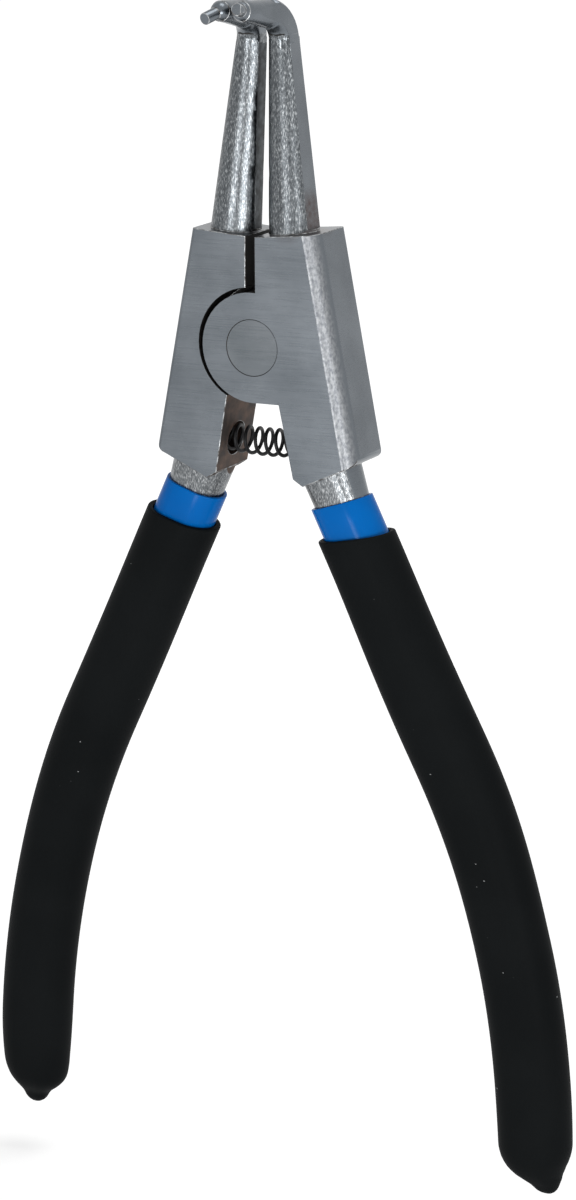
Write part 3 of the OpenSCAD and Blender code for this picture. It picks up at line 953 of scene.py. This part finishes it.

# %% [markdown]
# ### Scale, worn edges, painted shade in the gaps and wire
# The inner faces of the head were never cleaned after forging and keep a brown oxide. The
# broken edges are rubbed bright in places and dirty brown in others. The slot, the gaps and the
# creases are painted near black as painted shade, and the flats between the arms are painted
# dark as a painted reflection of the shaded gap. The spring is hard-drawn wire with a black
# oxide. All are patchy metals, so they share one recipe with their own colours and grain.

# %% Brown scale, worn edges, painted shade, painted reflection and spring wire
def patchy_metal(material, dark, light, size, rough, metallic, depth):
    """Metal whose colour and roughness change in patches, with a grain of size mm."""
    place, output = start(material)
    patch = add(material, "ShaderNodeTexNoise", Vector=place, Scale=per_mm(size), Detail=5.0)
    colour = add(material, "ShaderNodeValToRGB", {"stops": ((0.38, dark), (0.66, light))},
                 Fac=patch.outputs[0])
    matt = add(material, "ShaderNodeMapRange", Value=patch.outputs[0], To_Min=rough[0],
               To_Max=rough[1])
    bump = add(material, "ShaderNodeBump", Height=patch.outputs[0], Strength=0.4,
               Distance=depth * MM)
    surface(material, output, Metallic=metallic, Base_Color=colour.outputs[0],
            Roughness=matt.outputs[0], Normal=bump.outputs[0])


patchy_metal(FINISHES[SCALE], "#2a201b", "#5c493e", size=2.2, rough=(0.5, 0.7), metallic=0.5,
             depth=0.03)
patchy_metal(FINISHES[WORN], "#4b4744", "#b4b7b9", size=0.9, rough=(0.3, 0.45), metallic=1.0,
             depth=0.02)
# near black as painted shade in the slot, the gaps and the creases, and for the dark joints
patchy_metal(FINISHES[BLACK_JOINTS_AND_SHADE], "#080808", "#1d1a18", size=0.8, rough=(0.5, 0.7), metallic=0.3,
             depth=0.02)
# painted reflection of the shaded gap on the flats between the arms
patchy_metal(FINISHES[FLAT_PAINTED_REFLECTION], "#2c2e30", "#54585b", size=1.1, rough=(0.36, 0.5), metallic=1.0,
             depth=0.03)
patchy_metal(spring.data.materials[0], "#0a0a0b", "#18181a", size=0.5, rough=(0.4, 0.55),
             metallic=0.6, depth=0.02)
print("scale, worn edges, oily gaps, dull flats and the spring's oxide")

# %% [markdown]
# ### Dipped vinyl
# Both coats are soft PVC that was dipped hot. The blue one came out glossy, and the black one
# dries to a matt skin with a very fine peel and a few specks of dust. Soft PVC reflects
# little, so the specular level is low.

# %% Vinyl
CLOUD_SIZE = 14.0
MOTE_SIZE = 0.55


def vinyl(material, dark, light, rough, specular, grain, depth, dust=None):
    """Soft PVC with faint clouds, a peel with a grain of so many mm, and specks of dust."""
    place, output = start(material)
    cloud = add(material, "ShaderNodeTexNoise", Vector=place, Scale=per_mm(CLOUD_SIZE), Detail=3.0)
    peel = add(material, "ShaderNodeTexNoise", Vector=place, Scale=per_mm(grain), Detail=2.0)
    colour = add(material, "ShaderNodeValToRGB", {"stops": ((0.35, dark), (0.7, light))},
                 Fac=cloud.outputs[0]).outputs[0]
    if dust:
        mote = add(material, "ShaderNodeTexNoise", Vector=place, Scale=per_mm(MOTE_SIZE),
                   Detail=0.0)
        seen = add(material, "ShaderNodeMapRange", Value=mote.outputs[0], From_Min=0.9,
                   From_Max=0.92)
        colour = add(material, "ShaderNodeMix", {"data_type": "RGBA"}, _0=seen.outputs[0],
                     _6=colour, _7=linear(dust)).outputs[2]
    matt = add(material, "ShaderNodeMapRange", Value=cloud.outputs[0], To_Min=rough[0],
               To_Max=rough[1])
    bump = add(material, "ShaderNodeBump", Height=peel.outputs[0], Strength=0.25,
               Distance=depth * MM)
    surface(material, output, Base_Color=colour, Roughness=matt.outputs[0],
            Normal=bump.outputs[0], Specular_IOR_Level=specular)


vinyl(vinyl_blue, "#005aa6", "#0162b0", rough=(0.16, 0.26), specular=0.06, grain=1.5,
      depth=0.02)
vinyl(vinyl_black, "#0f1112", "#131516", rough=(0.5, 0.62), specular=0.025, grain=0.5,
      depth=0.03, dust="#8f9191")
print("blue and black vinyl")

# %% [markdown]
# ## Studio
# The tool is shown over a pale floor in an even white room. Both are white to the camera and
# to what mirrors in the metal, and dimmer as light on the tool. A lamp could burn the floor
# out to white instead, but it would burn out the tool as well. So the kind of ray is asked.

# %% What the eye sees
def seen_by_eye(owner):
    """1 for what the camera sees directly or mirrored in metal or glass, 0 for other rays."""
    path = add(owner, "ShaderNodeLightPath").outputs
    metal_too = add(owner, "ShaderNodeMath", {"operation": "ADD"},
                    _0=path["Is Camera Ray"], _1=path["Is Glossy Ray"])
    glass_too = add(owner, "ShaderNodeMath", {"operation": "ADD", "use_clamp": True},
                    _0=metal_too.outputs[0], _1=path["Is Transmission Ray"])
    return glass_too.outputs[0]


print("seen_by_eye is ready")

# %% [markdown]
# ### Floor
# The left handle swings a little lower than at rest when the handles close. So the floor lies
# just under the lowest point of that swing, and no pose touches it. It is matt white with a
# glow that only the eye sees. The glow is weaker near the tool, where the soft shadow falls.

# %% Floor
FLOOR_SIZE = 8.0
FLOOR_CLEAR = 0.3 * MM
GLOW_NEAR, GLOW_FAR = 0.42, 0.6
NEAR, FAR = 0.05, 0.5

left_end, left_down = handle_line(-1)[4:6]
left_drop = left_end + left_down * CAPS[-1][-1][0] * MM
floor_z = -math.hypot(left_drop.x, left_drop.z) - FLOOR_CLEAR
clear_selection()
bpy.ops.mesh.primitive_plane_add(size=FLOOR_SIZE, location=(0.0, 0.0, floor_z))
floor = bpy.context.object
floor.name = "floor"
bpy.ops.object.transform_apply(location=True)
floor_paint = bpy.data.materials.new("floor_matt_white")
place, output = start(floor_paint)
mottle = add(floor_paint, "ShaderNodeTexNoise", Vector=place, Scale=2.0)
shade = add(floor_paint, "ShaderNodeMapRange", Value=mottle.outputs[0], To_Min=0.9, To_Max=0.92)
white = add(floor_paint, "ShaderNodeBsdfDiffuse", Color=shade.outputs[0])
away = add(floor_paint, "ShaderNodeVectorMath", {"operation": "LENGTH"}, _0=place)
amount = add(floor_paint, "ShaderNodeMapRange", {"interpolation_type": "SMOOTHSTEP"},
             Value=away.outputs["Value"], From_Min=NEAR, From_Max=FAR, To_Min=GLOW_NEAR,
             To_Max=GLOW_FAR)
lift = add(floor_paint, "ShaderNodeMath", {"operation": "MULTIPLY"},
           _0=seen_by_eye(floor_paint), _1=amount.outputs[0])
glow = add(floor_paint, "ShaderNodeEmission", Strength=lift.outputs[0])
both = add(floor_paint, "ShaderNodeAddShader", _0=white.outputs[0], _1=glow.outputs[0])
floor_paint.node_tree.links.new(both.outputs[0], output.inputs[0])
floor.data.materials.append(floor_paint)
print("floor at", round(floor_z / MM, 1), "mm")

# %% [markdown]
# ### Room and lamps
# The room is an even white light from all sides. Two low soft boxes stand in front, where the
# round arms mirror them as streaks. They are kept low, so that the flat faces of the head do
# not mirror them in full from straight ahead. A wide one from above gives the soft shadow.

# %% Room and lamps
ROOM_LIGHT = 0.46

scene = bpy.context.scene
scene.view_settings.view_transform = "Standard"
world = bpy.data.worlds.new("white_room")
scene.world = world
world.use_nodes = True
sky = world.node_tree.nodes["Background"]
sky.inputs["Color"].default_value = (1.0, 1.0, 1.0, 1.0)
seen = add(world, "ShaderNodeMapRange", Value=seen_by_eye(world), To_Min=ROOM_LIGHT, To_Max=1.0)
world.node_tree.links.new(seen.outputs[0], sky.inputs["Strength"])


def soft_box(name, azimuth, away, height, width, tall, power):
    """An area lamp turned to the pivot, at a height above the ends of the grips."""
    a = math.radians(azimuth)
    place = Vector((math.sin(a) * away, -math.cos(a) * away, cad_box[0].z + height))
    clear_selection()
    bpy.ops.object.light_add(type="AREA", location=place)
    lamp = bpy.context.object
    lamp.name = name
    lamp.rotation_euler = place.to_track_quat("Z", "Y").to_euler()
    lamp.data.shape = "RECTANGLE"
    lamp.data.size = width
    lamp.data.size_y = tall
    lamp.data.energy = power


soft_box("left_strip", azimuth=-2, away=0.5, height=0.047, width=0.18, tall=0.086, power=0.8)
soft_box("right_strip", azimuth=45, away=0.5, height=0.047, width=0.14, tall=0.086, power=0.75)
soft_box("top_box", azimuth=110, away=0.3, height=1.2, width=0.6, tall=0.6, power=4.0)
print("room and three lamps")
